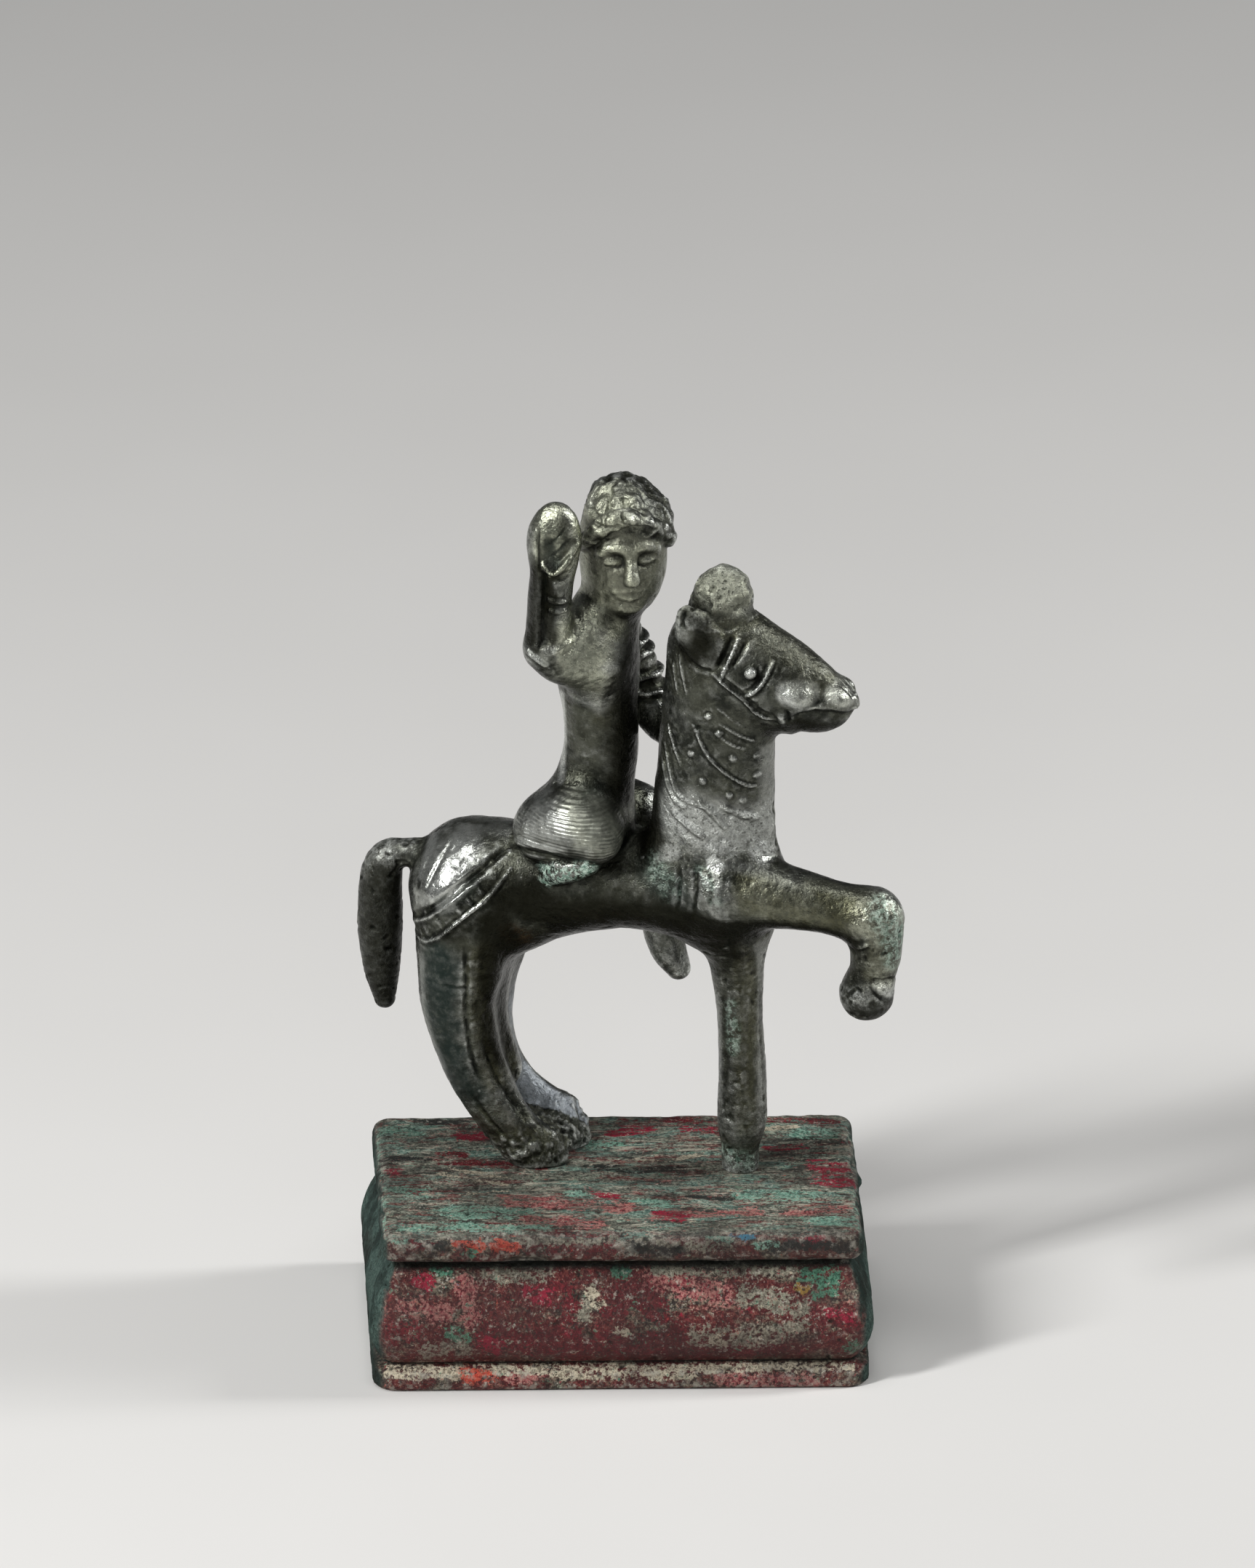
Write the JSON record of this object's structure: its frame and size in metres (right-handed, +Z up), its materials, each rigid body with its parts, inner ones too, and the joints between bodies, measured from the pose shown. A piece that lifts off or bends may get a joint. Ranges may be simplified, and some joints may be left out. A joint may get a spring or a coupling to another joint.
{
  "type": "equestrian statuette",
  "caption": "Small cast bronze horse with a rider raising one hand, standing on a moulded rectangular plinth, for display on a shelf.",
  "frame": {"origin": "centre of the plinth's flat underside, on the surface it stands on", "axes": "+X along the plinth towards the side the horse faces, +Y away from the viewer of the horse's right flank, +Z up"},
  "size_m": [0.0643, 0.0366, 0.1091],
  "materials": {
    "figure_bronze": "dark olive-grey bronze patina, worn pale on the high places",
    "plinth_bronze": "matt corroded bronze, mottled maroon red, teal green and pale beige"
  },
  "bodies": {
    "root": {"horse_and_rider": "figure_bronze", "plinth": "plinth_bronze"}
  },
  "joints": []
}
